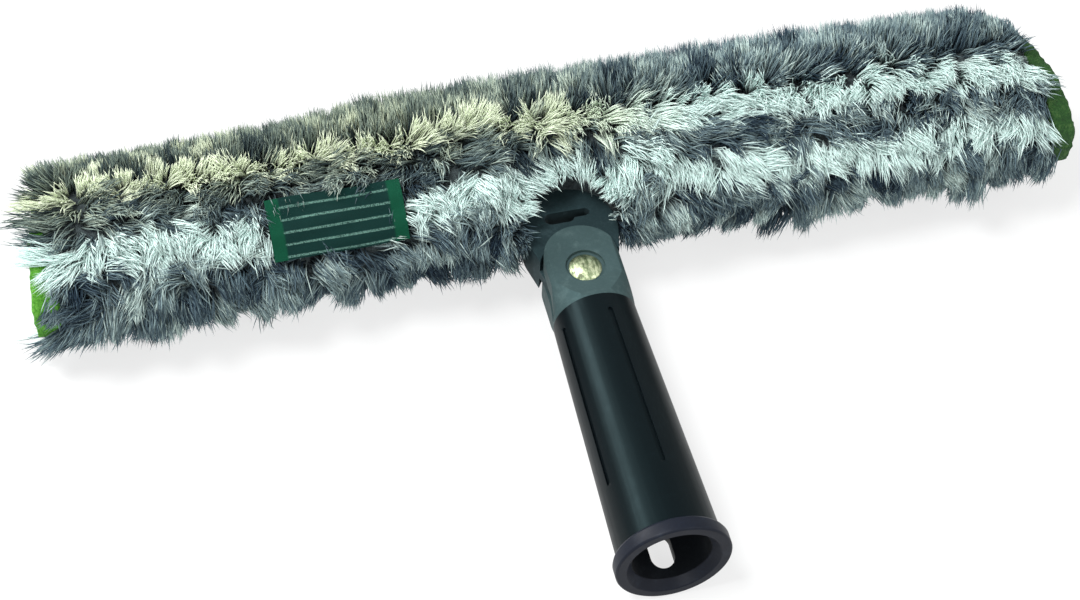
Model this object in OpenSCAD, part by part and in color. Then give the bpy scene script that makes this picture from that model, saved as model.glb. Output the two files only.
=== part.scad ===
// Window scrubber: pole-socket handle, riveted swivel head and a pile sleeve on a T-bar.
// Origin on the handle's axis where the socket's straight bore starts. +Y runs from the
// handle to the bar, +X along the bar, +Z up from the table that it lies on.

/* [Pole socket] */
// Length of the flared mouth in front of the straight bore
lip_len = 3.1; // [2.5:0.1:4.5]
// Radius of the flared mouth
lip_r = 15.6; // [15:0.1:16.5]
// Radius of the guide bore
guide_r = 13.2; // [12:0.1:13.8]
// Length of the guide bore
guide_len = 22; // [19:1:26]
// Length of the cone between the guide bore and the seat
step_len = 4; // [2:0.5:6]
// Radius of the seat bore
seat_r = 11; // [9:0.1:11.4]
// Length of the seat bore
seat_len = 26; // [16:1:28]
// Width of the lock window in the bottom wall
window_w = 8; // [6:0.5:9]
// Length of the lock window
window_len = 14; // [10:0.5:15]
// Distance from the start of the bore to the lock window
window_y = 3.6; // [3:0.1:5]

/* [Grip] */
// Distance from the start of the bore to the grip's upper edge
grip_top_y = 96.3; // [90:0.1:99]
// Radius of the grip beside the rim collar
grip_low_r = 17.3; // [16.8:0.1:18]
// Radius of the grip at its upper edge
grip_top_r = 14.5; // [14:0.1:15]
// Number of long grooves
groove_count = 5; // [3:1:8]
// Width of a groove
groove_w = 1.6; // [1:0.1:2.4]
// Depth of a groove
groove_depth = 0.8; // [0.4:0.1:1]
// Turn of the first groove from straight up
groove_turn = 11; // [0:1:40]
// Distance from the start of the bore to the grooves' lower ends
groove_low_y = 26; // [12:1:40]
// Distance from the grip's upper edge to the grooves' upper ends
groove_inset = 7; // [4:0.5:20]

/* [Rim collar] */
// Outer radius of the rim collar
collar_r = 19.3; // [18.9:0.1:20.5]
// Length of the rim collar behind the start of the bore
collar_back = 2.4; // [2:0.1:4]
// Rounding of the rim collar's edges
collar_edge = 0.8; // [0.4:0.1:1]

/* [Core] */
// Radius of the core at the start of the bore
core_low_r = 15.7; // [15.2:0.1:16]
// Radius that the core's taper reaches at the grip's upper edge
core_top_r = 10.6; // [10:0.1:11.5]
// Thickness of the floor behind the seat bore
floor_t = 6; // [4:0.5:8]
// Radius of the drain hole through the floor
drain_r = 3; // [2:0.5:4]
// Width of the tongue that the head's halves clamp
tongue_w = 13; // [10:0.5:14]
// Thickness of that tongue
tongue_t = 6; // [4:0.5:7]
// Length of that tongue
tongue_len = 28; // [24:1:30]
// Shank radius of the screws that clamp the head's halves
shell_screw_r = 1.5; // [1.2:0.1:1.8]
// Head radius of those screws
shell_screw_head_r = 2.8; // [2.4:0.1:3]
// Head height of those screws
shell_screw_head_h = 2; // [1.6:0.1:2.2]
// Distance of those screws' heads and ends from the axis
shell_screw_z = 7.6; // [7:0.1:8]
// Distance of the first of those screws from the tongue's root
shell_screw_start = 8; // [7:0.5:9]
// Distance between those screws
shell_screw_space = 14; // [10:0.5:15]

/* [Clevis head] */
// Distance from the start of the bore to the rivet
pivot_y = 111; // [108:0.1:113]
// Radius of the head where the grip ends
neck_r = 14.3; // [13.8:0.1:14.5]
// Half width of the cheeks
cheek_half_w = 13; // [12.5:0.1:13.5]
// Height of the cheeks' flat faces from the axis
cheek_top = 11.6; // [11:0.1:12.5]
// Distance from the rivet to the centre of the cheeks' round ends
cheek_end = 4.7; // [3:0.1:5.5]
// Length of the head's change from round to flat
blend_len = 10; // [8:0.5:12]
// Distance of the cheeks' rounded edges from the axis
head_corner_r = 16.4; // [15.5:0.1:17]
// Thickness of the upper cheek where it lies over the hub
cheek_lap = 2.5; // [2:0.1:2.8]
// Radius of the cheeks' bosses, which reach down to the hub's tongue
boss_r = 15; // [14.5:0.1:15]
// Distance from the rivet to the clevis's inner end
crotch = 12.7; // [12.5:0.1:14]

/* [Swivel] */
// Shank radius of the rivet
rivet_r = 3.2; // [2.8:0.1:3.6]
// Radius of the rivet's domed head
rivet_head_r = 5.8; // [5.4:0.1:6.2]
// Height of the rivet's dome
rivet_dome = 1.9; // [1.4:0.1:2.2]
// Gap round the rivet's head in its recess
rivet_gap = 1; // [0.5:0.1:1.2]
// Depth of the recess for the rivet's head
rivet_sink = 1.2; // [0.8:0.1:1.5]
// Depth of the recess for the rivet's closed end, on the underside
tail_sink = 2.6; // [2:0.1:3]
// Radius of the rivet's closed end
tail_r = 4.6; // [4.2:0.1:5]
// Radius of the washer under the closed end
washer_r = 6.4; // [6:0.1:6.8]
// Thickness of that washer
washer_t = 1; // [0.8:0.1:1.2]
// Height of the rivet's closed end below the washer
tail_h = 1.2; // [0.8:0.1:1.4]
// Radius of the friction discs and the disc spring
disc_r = 9; // [8:0.1:10]
// Thickness of a friction disc
disc_t = 0.55; // [0.4:0.05:0.8]
// Thickness of the disc spring's metal
spring_t = 0.5; // [0.4:0.05:0.6]
// Height of the disc spring as fitted
spring_h = 1.05; // [0.8:0.05:1.3]
// Radial clearance of the rivet in its holes
pin_gap = 0.05; // [0.02:0.01:0.1]
// Clearance beside each flat face that slides
face_gap = 0.05; // [0.02:0.01:0.1]
// Clearance of the cheeks from the hub's flat faces and walls
swing_gap = 0.3; // [0.3:0.05:0.5]

/* [Hub] */
// Radius of the hub's tongue round the rivet
hub_tongue_r = 12; // [11:0.1:12.2]
// Height of the underside of the hub's tongue
hub_tongue_z = -0.4; // [-1:0.1:0.4]
// Thickness of the hub's tongue
hub_tongue_t = 4; // [3:0.1:4.5]
// Distance from the rivet to the centre of the hub's disc
hub_disc_at = 19.6; // [19:0.1:20.5]
// Radius of the hub's disc
hub_disc_r = 16.5; // [16:0.1:17]
// Height of the hub's underside
hub_low = -6; // [-7:0.1:-5]
// Distance from the disc's centre to the slot
slot_at = 5; // [4:0.1:6]
// Length of the slot
slot_len = 16; // [12:0.5:18]
// Width of the slot
slot_w = 4.8; // [4:0.1:5.5]
// Length of the slot's narrow stretch
slot_narrow_len = 5.5; // [3:0.5:7]
// Width that the narrow stretch loses
slot_narrow = 1.6; // [1:0.1:2]
// Width of the tenon that enters the bar
tenon_w = 28; // [22:1:30]
// Length of the tenon past the disc
tenon_len = 19; // [16:1:22]
// Thickness of the tenon
tenon_t = 5.4; // [4:0.1:6]

/* [T-bar] */
// Length of the bar
bar_len = 330; // [300:5:340]
// Distance from the middle of the hub's disc to the middle of the bar
bar_at = 25.4; // [24:0.1:27]
// Width of the bar
bar_w = 36; // [34:0.5:38]
// Thickness of the bar
bar_t = 14; // [12:0.5:15]
// Rounding of the bar's long edges
bar_edge = 4; // [2:0.5:5]
// Rounding of the bar's corners
bar_corner = 12; // [6:1:16]
// Wall of the bar under the hub's tenon
bar_floor = 2.5; // [2:0.1:3]
// Fitting gap round the tenon
tenon_gap = 0.15; // [0.05:0.05:0.3]
// Length of a water slot
water_slot_len = 14; // [10:1:16]
// Width of a water slot
water_slot_w = 4; // [3:0.5:5]
// Distance between the middles of two water slots
water_pitch = 20; // [18:1:24]
// Distance between the two rows of water slots
water_rows = 15; // [12:1:18]
// Distance from the middle to the first water slots
water_start = 36; // [34:1:44]
// Shank radius of the hub screws
hub_screw_r = 1.5; // [1.2:0.1:1.8]
// Head radius of the hub screws
hub_screw_head_r = 2.8; // [2.4:0.1:3.2]
// Head height of the hub screws, sunk in the bar
hub_screw_head_h = 1.5; // [1.2:0.1:1.6]
// Length of the hub screws
hub_screw_len = 11; // [9:0.5:12]
// Distance between the hub screws
hub_screw_space = 16; // [14:1:18]

/* [Sleeve] */
// Length of the pile past each end of the bar
pile_past_bar = 10; // [4:0.5:14]
// Half width of the sleeve with its pile
pile_half_w = 37; // [34:0.5:38]
// Thickness of the backing
backing_t = 1.4; // [1:0.1:1.6]
// Gap between the bar and the backing
backing_gap = 0.4; // [0.3:0.1:0.6]
// Gap between the hub's disc and the bound edge
binding_gap = 0.5; // [0.4:0.1:0.8]
// Thickness of the bound edge
binding_t = 0.6; // [0.4:0.1:0.8]
// Clearance round the cheeks' swing
pile_swing_gap = 1.2; // [0.8:0.1:2]
// Length of a row of tufts along the bar
tuft_pitch = 14; // [12:1:20]
// Number of tufts in a row round the sleeve
tuft_count = 24; // [18:2:30]
// Depth of the valleys between tufts
tuft_depth = 3; // [1:0.5:3.5]
// How much wider the pile's opening is at its tips than at the backing
mouth_flare = 9; // [4:1:11]
// Length of the closure strips
closure_len = 22; // [16:1:26]
// Width of the closure strips
closure_w = 9; // [7:0.5:10]
// Thickness of a closure strip
closure_t = 1.2; // [0.8:0.1:1.4]
// Distance from the middle of the bar to the closure strips' near ends
closure_at = 22; // [20:1:30]
// Angle round the sleeve, from the far edge over the top, where the edge pile starts
edge_from = -50; // [-60:1:-40]
// Angle where the far white stripe starts
far_white_from = 62; // [56:1:68]
// Angle where the far white stripe ends
far_white_to = 83; // [76:1:88]
// Angle where the near white stripe starts
near_white_from = 119; // [112:1:124]
// Angle where the near white stripe ends
near_white_to = 141; // [134:1:146]
// Angle where the grey pile of the near edge ends
near_grey_to = 200; // [190:1:210]
// Turn of the stripes to the near side on the right half, and to the far side on the left
stripe_drift = 7; // [0:1:10]

/* [Trim] */
// Half width of an end pad
pad_half_w = 28; // [24:1:30]
// Half height of an end pad
pad_half_h = 18; // [15:1:20]
// Thickness of an end pad at its near edge
pad_near_t = 9; // [6:0.5:10]
// Thickness of an end pad at its far edge
pad_far_t = 3; // [2:0.5:5]
// Gap between an end pad's plug and the pile round it
plug_gap = 0.3; // [0.2:0.05:0.5]
// Length of the label along the bar
label_len = 46; // [36:1:52]
// Distance from the middle of the bar to the middle of the label
label_x = -80; // [-110:1:-60]
// Angle round the sleeve where the label's near edge lies
label_from = 147; // [142:1:152]
// Angle round the sleeve where the label's far edge lies
label_to = 107; // [102:1:112]
// Thickness of the label
label_t = 0.8; // [0.6:0.1:1]
// Depth of the label under the pile's tips
label_sink = 3.5; // [2.5:0.1:5]

/* [Hidden] */
$fn = 64;
cut = 0.5;                  // how far a cut runs past the face that it opens
through = 3 * collar_r;     // how far a cut reaches that goes right through
fit_gap = 0.05;             // clearance of screws, and of the core in the head
seat_end = guide_len + step_len + seat_len;
core_len = seat_end + floor_t;
hub_tongue_top = hub_tongue_z + hub_tongue_t;
disc_up_z = hub_tongue_top + face_gap;
disc_low_z = hub_tongue_z - face_gap - disc_t;
spring_z = disc_low_z - spring_h;
lap_z = cheek_top - cheek_lap;
hub_top = lap_z - swing_gap;
hub_lap_r = boss_r + swing_gap * 2;
shell_screw_at = [shell_screw_start, shell_screw_start + shell_screw_space];
disc_y = pivot_y + hub_disc_at;
bar_y = disc_y + bar_at;
recess_r = rivet_head_r + rivet_gap;
rivet_top = cheek_top - rivet_sink;
tail_top = tail_sink - cheek_top;
tenon_low = hub_top - tenon_t;
bar_low = tenon_low - bar_floor;
bar_z = bar_low + bar_t / 2;
bar_near = bar_y - bar_w / 2;
pile_len = bar_len + 2 * pile_past_bar;
bay_r = hub_disc_r + binding_gap + binding_t;
backing_in_w = bar_w + 2 * backing_gap;
backing_in_t = bar_t + 2 * backing_gap;
backing_w = backing_in_w + 2 * backing_t;
backing_h = backing_in_t + 2 * backing_t;
backing_len = bar_len + 2 * backing_gap + 2 * backing_t;
pile_half_h = bar_z + collar_r;
swing_r = cheek_end + cheek_half_w + pile_swing_gap;
stripe_at = [
    edge_from, far_white_from, far_white_to, near_white_from, near_white_to, near_grey_to,
    edge_from + 360
];

function core_r(y) = core_low_r + (core_top_r - core_low_r) * y / grip_top_y;
function grip_r(y) =
    grip_low_r + (grip_top_r - grip_low_r) * (y - collar_back) / (grip_top_y - collar_back);
function signed_root(v, n) = sign(v) * pow(abs(v), 2 / n);
// A rounded outline: n = 2 is an ellipse, and a higher n is more like a rectangle
function section(w, h, n, steps) = [
    for (i = [0 : steps - 1])
        [w * signed_root(cos(360 * i / steps), n), h * signed_root(sin(360 * i / steps), n)]
];

// Turns what is drawn along +Z to run along +Y
module along_y() { rotate([-90, 0, 0]) children(); }

// A profile of X and Y extruded along the bar, centred: its X becomes Y and its Y becomes Z
module along_bar(length) {
    rotate([90, 0, 90]) linear_extrude(length, center = true) children();
}

module tube_y(y0, y1, r0, r1) {
    translate([0, y0, 0]) along_y() cylinder(r1 = r0, r2 = r1, h = y1 - y0);
}

module rounded_rect(w, h, r) {
    square([w - 2 * r, h], center = true);
    square([w, h - 2 * r], center = true);
    for (x = [-1, 1], y = [-1, 1]) translate([x * (w / 2 - r), y * (h / 2 - r)]) circle(r);
}

module oblong(length, width) {
    square([length - width, width], center = true);
    for (x = [-1, 1]) translate([x * (length - width) / 2, 0]) circle(width / 2);
}

module lock_window() {
    translate([0, window_y + window_len / 2, -through])
        linear_extrude(through) rotate(90) oblong(window_len, window_w);
}

module end_collar() {
    color([0.06, 0.07, 0.13]) along_y() rotate_extrude()
        polygon([
            [guide_r, 0],
            [lip_r, -lip_len + 0.3],
            [lip_r + 0.4, -lip_len],
            [collar_r - collar_edge, -lip_len],
            [collar_r - collar_edge * 0.3, -lip_len + collar_edge * 0.3],
            [collar_r, -lip_len + collar_edge],
            [collar_r, collar_back - collar_edge * 1.6],
            [collar_r - collar_edge * 0.6, collar_back - collar_edge * 0.4],
            [collar_r - collar_edge * 1.4, collar_back],
            [core_r(collar_back), collar_back],
            [core_r(0), 0]
        ]);
}

module handle_core() {
    color([0.16, 0.18, 0.2]) difference() {
        union() {
            tube_y(0, core_len, core_r(0), core_r(core_len));
            translate([-tongue_w / 2, core_len - cut, -tongue_t / 2])
                cube([tongue_w, tongue_len + cut, tongue_t]);
        }
        tube_y(-cut, guide_len, guide_r, guide_r);
        tube_y(guide_len, guide_len + step_len, guide_r, seat_r);
        tube_y(guide_len + step_len - 0.01, seat_end, seat_r, seat_r);
        tube_y(seat_end - cut, core_len - tongue_t / 4, drain_r, drain_r);
        lock_window();
        for (y = shell_screw_at) translate([0, core_len + y, -tongue_t])
            cylinder(r = shell_screw_r + fit_gap, h = 2 * tongue_t);
    }
}

module groove(turn) {
    low = grip_r(groove_low_y) - groove_depth;
    high = grip_r(grip_top_y - groove_inset) - groove_depth;
    rotate([0, turn, 0]) hull() {
        translate([0, groove_low_y, low])
            cylinder(r = groove_w / 2, h = 3 * groove_depth, $fn = 24);
        translate([0, grip_top_y - groove_inset, high])
            cylinder(r = groove_w / 2, h = 3 * groove_depth, $fn = 24);
    }
}

module grip() {
    color([0.05, 0.06, 0.07]) difference() {
        tube_y(collar_back, grip_top_y, grip_r(collar_back), grip_r(grip_top_y));
        tube_y(collar_back - cut, grip_top_y + cut, core_r(collar_back - cut), core_r(grip_top_y + cut));
        for (i = [0 : groove_count - 1]) groove(groove_turn + i * 360 / groove_count);
        lock_window();
    }
}

// The cheeks' outline from above, with its round end
module head_plan() {
    end_y = pivot_y + cheek_end;
    translate([0, end_y]) circle(cheek_half_w);
    polygon([[-neck_r, grip_top_y], [neck_r, grip_top_y], [cheek_half_w, grip_top_y + blend_len],
        [cheek_half_w, end_y], [-cheek_half_w, end_y], [-cheek_half_w, grip_top_y + blend_len]]);
}

// The head from the side: it slopes from the grip down to the cheeks' flat faces
module head_side() {
    flat_y = grip_top_y + blend_len;
    front_y = pivot_y + cheek_end + cheek_half_w + cut;
    polygon([[grip_top_y, -neck_r], [flat_y, -cheek_top], [front_y, -cheek_top],
        [front_y, cheek_top], [flat_y, cheek_top], [grip_top_y, neck_r]]);
}

// The head's outside: round where the grip ends, flat-topped round the rivet
module head_blank() {
    flat_y = grip_top_y + blend_len;
    front_y = pivot_y + cheek_end + cheek_half_w + cut;
    intersection() {
        union() {
            tube_y(grip_top_y, flat_y, neck_r, head_corner_r);
            tube_y(flat_y, front_y, head_corner_r, head_corner_r);
        }
        translate([0, 0, -neck_r - cut]) linear_extrude(2 * (neck_r + cut)) head_plan();
        along_bar(2 * (neck_r + cut)) head_side();
    }
    tube_y(core_len + fit_gap, grip_top_y, core_r(core_len + fit_gap), core_r(grip_top_y));
}

// What a half of the head leaves free: the far half, the hub's swing, the tongue and the rivet
module head_cuts(side) {
    boss_z = side > 0 ? hub_tongue_top + swing_gap : hub_tongue_z - swing_gap;
    pocket_z = side > 0 ? disc_up_z + disc_t : spring_z;
    lap = side > 0 ? lap_z : hub_low - swing_gap;
    crotch_y = pivot_y - crotch;
    lap_y = pivot_y - boss_r / 3;
    // the other half of the head
    translate([-through, 0, side > 0 ? -through : 0])
        cube([2 * through, 2 * through + pivot_y, through]);
    // the gap for the hub's tongue
    translate([-through, crotch_y, side > 0 ? -cut : boss_z])
        cube([2 * through, through, abs(boss_z) + cut]);
    // the hub's disc, which the cheek laps
    difference() {
        translate([-through, lap_y, side > 0 ? -cut : lap])
            cube([2 * through, through, abs(lap) + cut]);
        translate([0, pivot_y, -through]) cylinder(r = boss_r, h = 2 * through);
    }
    // the pocket for the friction disc
    translate([0, pivot_y, min(pocket_z, boss_z) - (side > 0 ? cut : 0)])
        cylinder(r = disc_r + swing_gap, h = abs(pocket_z - boss_z) + cut);
    // the hole for the rivet
    translate([0, pivot_y, -through]) cylinder(r = rivet_r + pin_gap, h = 2 * through);
    // the slot for the core's tongue and its screws
    translate([-tongue_w / 2 - fit_gap, core_len - cut, -tongue_t / 2 - fit_gap])
        cube([tongue_w + 2 * fit_gap, tongue_len + cut + fit_gap, tongue_t + 2 * fit_gap]);
}

module head_shell_upper() {
    color([0.28, 0.33, 0.37]) difference() {
        head_blank();
        head_cuts(1);
        translate([0, pivot_y, rivet_top]) cylinder(r = recess_r, h = through);
        for (y = shell_screw_at) translate([0, core_len + y, 0]) {
            cylinder(r = shell_screw_r + fit_gap, h = through);
            translate([0, 0, shell_screw_z])
                cylinder(r = shell_screw_head_r + fit_gap, h = through);
        }
    }
}

module head_shell_lower() {
    color([0.26, 0.31, 0.35]) difference() {
        head_blank();
        head_cuts(-1);
        translate([0, pivot_y, tail_top - through])
            cylinder(r = washer_r + rivet_gap, h = through);
        for (y = shell_screw_at) translate([0, core_len + y, -shell_screw_z])
            cylinder(r = shell_screw_r + fit_gap, h = 2 * shell_screw_z);
    }
}

// A screw along Z: shank up from z0 to z1, a round head with a cross recess above
module screw(z0, z1, r, head_r, head_h) {
    cross_len = 1.2 * head_r;
    cross_w = head_r / 4;
    translate([0, 0, z0]) cylinder(r = r, h = z1 - z0 + cut);
    translate([0, 0, z1]) difference() {
        cylinder(r = head_r, h = head_h);
        for (a = [0, 90]) rotate(a) translate([-cross_len / 2, -cross_w / 2, head_h * 0.4])
            cube([cross_len, cross_w, head_h]);
    }
}

module shell_screws() {
    color([0.7, 0.7, 0.72]) for (y = shell_screw_at) translate([0, core_len + y, 0])
        screw(-shell_screw_z + cut, shell_screw_z, shell_screw_r, shell_screw_head_r,
            shell_screw_head_h);
}

module swivel_rivet() {
    dome_r = (pow(rivet_head_r, 2) + pow(rivet_dome, 2)) / (2 * rivet_dome);
    tail_z = tail_top - washer_t;
    color([0.75, 0.72, 0.58]) translate([0, pivot_y, 0]) {
        intersection() {
            translate([0, 0, rivet_top + rivet_dome - dome_r]) sphere(dome_r);
            translate([0, 0, rivet_top]) cylinder(r = rivet_head_r, h = 2 * rivet_dome);
        }
        translate([0, 0, tail_z - cut]) cylinder(r = rivet_r, h = rivet_top - tail_z + 2 * cut);
        translate([0, 0, tail_z - tail_h]) cylinder(r1 = tail_r * 0.8, r2 = tail_r, h = tail_h);
    }
}

module rivet_washer() {
    color([0.72, 0.72, 0.7]) translate([0, pivot_y, tail_top - washer_t]) difference() {
        cylinder(r = washer_r, h = washer_t);
        translate([0, 0, -cut]) cylinder(r = rivet_r + pin_gap, h = washer_t + 2 * cut);
    }
}

module disc_spring() {
    color([0.6, 0.62, 0.65]) translate([0, pivot_y, spring_z]) rotate_extrude()
        polygon([[rivet_r + pin_gap, spring_h - spring_t], [disc_r, 0], [disc_r, spring_t],
            [rivet_r + pin_gap, spring_h]]);
}

module friction_disc(z) {
    translate([0, pivot_y, z]) difference() {
        cylinder(r = disc_r, h = disc_t);
        translate([0, 0, -cut]) cylinder(r = rivet_r + pin_gap, h = disc_t + 2 * cut);
    }
}

module friction_disc_upper() { color([0.85, 0.85, 0.8]) friction_disc(disc_up_z); }

module friction_disc_lower() { color([0.85, 0.85, 0.8]) friction_disc(disc_low_z); }

// The hub from above: a small round end at the rivet and the disc, joined by tangents
module hub_plan() {
    c = (hub_tongue_r - hub_disc_r) / hub_disc_at;
    s = sqrt(1 - c * c);
    translate([0, pivot_y]) circle(hub_tongue_r);
    translate([0, disc_y]) circle(hub_disc_r);
    polygon([
        [-hub_tongue_r * s, pivot_y + hub_tongue_r * c],
        [hub_tongue_r * s, pivot_y + hub_tongue_r * c],
        [hub_disc_r * s, disc_y + hub_disc_r * c],
        [-hub_disc_r * s, disc_y + hub_disc_r * c]
    ]);
}

module hub_slot() {
    translate([-slot_narrow_len / 2, 0]) oblong(slot_len - slot_narrow_len, slot_w);
    translate([slot_len / 2 - slot_narrow_len, slot_narrow / 2])
        oblong(slot_narrow_len * 2, slot_w - slot_narrow);
}

module hub() {
    color([0.3, 0.35, 0.4]) difference() {
        union() {
            translate([0, 0, hub_low]) linear_extrude(hub_top - hub_low) hub_plan();
            translate([-tenon_w / 2, disc_y, tenon_low])
                cube([tenon_w, hub_disc_r + tenon_len, hub_top - tenon_low]);
        }
        translate([0, pivot_y, hub_tongue_top]) cylinder(r = hub_lap_r, h = through);
        translate([0, pivot_y, hub_tongue_z - through]) cylinder(r = hub_lap_r, h = through);
        translate([0, pivot_y, -through]) cylinder(r = rivet_r + pin_gap, h = 2 * through);
        translate([0, disc_y + slot_at, -through]) linear_extrude(2 * through) hub_slot();
        for (x = [-1, 1]) translate([x * hub_screw_space / 2, bar_y, -through])
            cylinder(r = hub_screw_r + fit_gap, h = 2 * through);
    }
}

module water_slots() {
    count = floor((bar_len / 2 - water_start - water_slot_len) / water_pitch);
    for (side = [-1, 1], row = [-1, 1], i = [0 : count])
        translate([side * (water_start + i * water_pitch), bar_y + row * water_rows / 2])
            oblong(water_slot_len, water_slot_w);
}

module t_bar() {
    tenon_end = disc_y + hub_disc_r + tenon_len;
    color([0.2, 0.22, 0.24]) difference() {
        intersection() {
            translate([0, bar_y, bar_z]) along_bar(bar_len) rounded_rect(bar_w, bar_t, bar_edge);
            translate([0, bar_y, -through])
                linear_extrude(2 * through) rounded_rect(bar_len, bar_w, bar_corner);
        }
        translate([0, disc_y, -through]) cylinder(r = bay_r, h = 2 * through);
        translate([-tenon_w / 2 - tenon_gap, disc_y, tenon_low])
            cube([tenon_w + 2 * tenon_gap, tenon_end + tenon_gap - disc_y, tenon_t + tenon_gap]);
        translate([0, 0, -through]) linear_extrude(2 * through) water_slots();
        for (x = [-1, 1]) translate([x * hub_screw_space / 2, bar_y, bar_low]) {
            translate([0, 0, -cut])
                cylinder(r = hub_screw_head_r + fit_gap, h = hub_screw_head_h + cut);
            cylinder(r = hub_screw_r + fit_gap, h = hub_screw_len);
        }
    }
}

module hub_screws() {
    color([0.7, 0.7, 0.72]) for (x = [-1, 1])
        translate([x * hub_screw_space / 2, bar_y, bar_low]) mirror([0, 0, 1])
            screw(-hub_screw_len + cut, -hub_screw_head_h, hub_screw_r, hub_screw_head_r,
                hub_screw_head_h);
}

// The pile's opening round the hub, which widens from the backing to the tips
module pile_notch() {
    rise = pile_half_h - backing_h / 2;
    sleeve_notch(bay_r);
    for (side = [-1, 1]) translate([0, 0, bar_z]) mirror([0, 0, side > 0 ? 0 : 1])
        translate([0, 0, backing_h / 2]) {
            translate([0, disc_y, 0]) cylinder(r1 = bay_r, r2 = bay_r + mouth_flare, h = rise);
            translate([0, disc_y, rise]) cylinder(r = bay_r + mouth_flare, h = cut);
        }
}

// The sleeve's opening round the hub, clear of the cheeks' swing
module sleeve_notch(r) {
    translate([0, 0, -through]) linear_extrude(2 * through) {
        translate([0, disc_y]) circle(r);
        translate([0, pivot_y]) circle(swing_r);
        translate([-r, pivot_y]) square([2 * r, hub_disc_at]);
    }
}

module sleeve_backing() {
    color([0.75, 0.76, 0.76]) difference() {
        translate([0, bar_y, bar_z]) along_bar(backing_len)
            rounded_rect(backing_w, backing_h, bar_edge + backing_gap + backing_t);
        translate([0, bar_y, bar_z]) along_bar(backing_len - 2 * backing_t)
            rounded_rect(backing_in_w, backing_in_t, bar_edge + backing_gap);
        sleeve_notch(bay_r);
    }
}

// The bound edges above and below the hub's tenon
module slit_binding() {
    top_z = bar_z + backing_h / 2;
    low_z = bar_z - backing_h / 2;
    lips = [[low_z, tenon_low - swing_gap], [hub_top + swing_gap, top_z]];
    color([0.12, 0.14, 0.2]) for (z = lips) translate([0, disc_y, z[0]]) difference() {
        cylinder(r = bay_r - fit_gap, h = z[1] - z[0]);
        translate([0, 0, -cut]) cylinder(r = bay_r - binding_t, h = through);
        translate([-through, bar_near - disc_y + 2 * cut - through, -cut])
            cube([2 * through, through, through]);
    }
}

// One strip in the left lip of the slit, from height z up
module closure_strip(z, thickness = closure_t) {
    near_y = bar_near - backing_gap - backing_t - closure_w;
    translate([-closure_at - closure_len, near_y, z]) cube([closure_len, closure_w, thickness]);
}

module closure_hook_strip() { color([0.1, 0.1, 0.1]) closure_strip(bar_z); }

module closure_loop_strip() { color([0.2, 0.2, 0.2]) closure_strip(bar_z - closure_t); }

// The pile's outline across one row of tufts: a lobe for each tuft, turned by half a tuft
// in every second row
function tufted(row) = [
    for (i = [0 : 5 * tuft_count - 1])
        let (a = 72 * i / tuft_count, lobe = 180 * (i / 5 + (row % 2) / 2),
             dip = tuft_depth * (1 - abs(cos(lobe))))
        [(pile_half_w - dip) * cos(a), (pile_half_h - dip) * sin(a)]
];

// The part of the pile between two angles round the sleeve, as rows of tufts from x0 to x1
module pile_sector(a0, a1, x0, x1) {
    steps = 6;
    reach = pile_half_w * 2;
    rows = round((x1 - x0) / tuft_pitch);
    row_len = (x1 - x0) / rows;
    for (row = [0 : rows - 1]) let (lap = row > 0 ? fit_gap : 0)
        translate([x0 + (row + 0.5) * row_len - lap / 2, bar_y, bar_z])
            along_bar(row_len + lap) intersection() {
                difference() {
                    polygon(tufted(row));
                    rounded_rect(backing_w, backing_h, bar_edge + backing_gap + backing_t);
                }
                polygon(concat([[0, 0]],
                    [for (i = [0 : steps]) let (a = a0 + (a1 - a0) * i / steps)
                        [reach * cos(a), reach * sin(a)]]));
            }
}

// Both halves of one stripe, turned by the drift, less the notch, the label and the closure
module stripe(from, to) {
    from_drift = from == 0 ? 0 : stripe_drift;
    to_drift = to == 5 ? 0 : stripe_drift;
    difference() {
        union() {
            pile_sector(stripe_at[from] - from_drift, stripe_at[to] - to_drift, -pile_len / 2, 0);
            pile_sector(stripe_at[from] + from_drift, stripe_at[to] + to_drift, 0, pile_len / 2);
        }
        pile_notch();
        label_bed();
        closure_strip(bar_z - closure_t, 2 * closure_t);
    }
}

module pile_white() {
    color([0.88, 0.92, 0.9]) {
        stripe(1, 2);
        stripe(3, 4);
    }
}

module pile_grey() {
    color([0.48, 0.52, 0.55]) {
        stripe(2, 3);
        stripe(4, 5);
    }
}

module pile_edge() { color([0.5, 0.5, 0.48]) stripe(0, 1); }

module pile_under() {
    color([0.45, 0.48, 0.5]) difference() {
        pile_sector(stripe_at[5], stripe_at[6], -pile_len / 2, pile_len / 2);
        pile_notch();
    }
}

// An end pad: a wedge-shaped cap with a plug inside the pile that reaches the backing's end
module end_pad() {
    face_x = pile_len / 2;
    far_y = bar_y + pad_half_w;
    near_y = bar_y - pad_half_w;
    plug_x = backing_len / 2;
    plug_edge = bar_edge + backing_gap + backing_t;
    intersection() {
        translate([face_x + pad_near_t / 2, bar_y, bar_z]) along_bar(pad_near_t)
            polygon(section(pad_half_w, pad_half_h, 2.4, 48));
        translate([0, 0, -through]) linear_extrude(2 * through)
            polygon([[face_x, near_y], [face_x + pad_near_t, near_y], [face_x + pad_far_t, far_y],
                [face_x, far_y]]);
    }
    translate([(plug_x + face_x + cut) / 2, bar_y, bar_z]) along_bar(face_x + cut - plug_x)
        rounded_rect(backing_w - 2 * plug_gap, backing_h - 2 * plug_gap, plug_edge - plug_gap);
}

module end_pad_left() { color([0.25, 0.6, 0.12]) mirror([1, 0, 0]) end_pad(); }

module end_pad_right() { color([0.12, 0.36, 0.1]) end_pad(); }

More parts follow.
